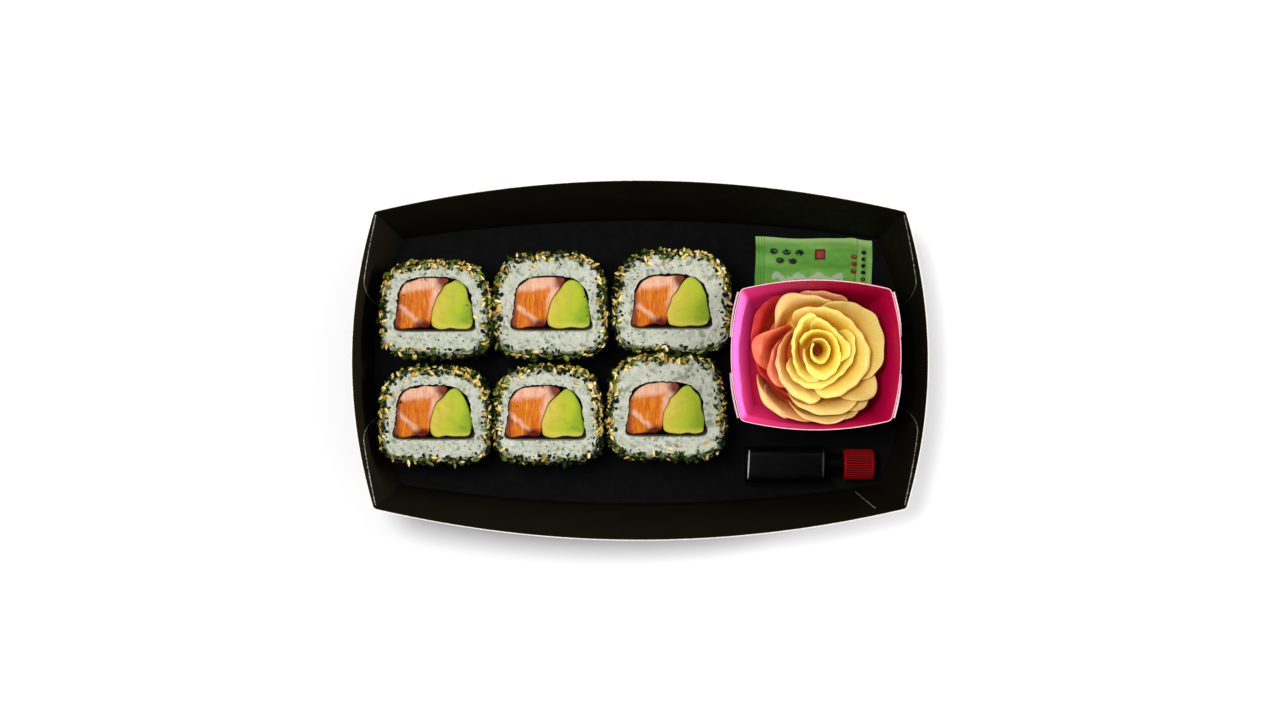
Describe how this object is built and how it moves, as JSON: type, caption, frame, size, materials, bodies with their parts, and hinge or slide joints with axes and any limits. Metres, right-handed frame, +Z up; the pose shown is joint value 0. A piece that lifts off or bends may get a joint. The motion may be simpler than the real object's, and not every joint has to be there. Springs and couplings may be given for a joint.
{
  "type": "takeaway sushi tray",
  "caption": "Folded board takeaway tray of cut sushi rolls with a pot of pickled ginger, a sachet and a small bottle of soy sauce.",
  "frame": {"origin": "centre of the tray's underside, on the surface it stands on", "axes": "+X along the tray's long side towards the ginger pot, +Y across it towards the sachet, +Z up out of the tray"},
  "size_m": [0.208, 0.13, 0.04],
  "materials": {
    "black_board": "black coated paperboard, low sheen",
    "rice": "moist cooked rice with sesame seeds and herb flakes",
    "seaweed": "damp roasted seaweed",
    "salmon": "moist salmon",
    "avocado": "smooth cut avocado",
    "pink_board": "magenta coated paperboard, low sheen",
    "ginger": "moist pickled ginger, blushing pink",
    "green_foil": "printed foil",
    "clear_plastic": "clear polished plastic",
    "soy_sauce": "dark liquid",
    "red_plastic": "ribbed moulded plastic"
  },
  "bodies": {
    "root": {"tray": "black_board", "roll_1_rice": "rice", "roll_1_nori": "seaweed", "roll_1_salmon": "salmon", "roll_1_avocado": "avocado", "roll_2_rice": "rice", "roll_2_nori": "seaweed", "roll_2_salmon": "salmon", "roll_2_avocado": "avocado", "roll_3_rice": "rice", "roll_3_nori": "seaweed", "roll_3_salmon": "salmon", "roll_3_avocado": "avocado", "roll_4_rice": "rice", "roll_4_nori": "seaweed", "roll_4_salmon": "salmon", "roll_4_avocado": "avocado", "roll_5_rice": "rice", "roll_5_nori": "seaweed", "roll_5_salmon": "salmon", "roll_5_avocado": "avocado", "roll_6_rice": "rice", "roll_6_nori": "seaweed", "roll_6_salmon": "salmon", "roll_6_avocado": "avocado", "ginger_pot": "pink_board", "ginger_slice_01": "ginger", "ginger_slice_02": "ginger", "ginger_slice_03": "ginger", "ginger_slice_04": "ginger", "ginger_slice_05": "ginger", "ginger_slice_06": "ginger", "ginger_slice_07": "ginger", "ginger_slice_08": "ginger", "ginger_slice_09": "ginger", "ginger_slice_10": "ginger", "ginger_slice_11": "ginger", "ginger_slice_12": "ginger", "ginger_slice_13": "ginger", "ginger_slice_14": "ginger", "ginger_slice_15": "ginger", "ginger_slice_16": "ginger", "ginger_slice_17": "ginger", "ginger_slice_18": "ginger", "sachet": "green_foil", "soy_bottle": "clear_plastic", "soy_sauce": "soy_sauce", "soy_cap": "red_plastic"}
  },
  "joints": []
}
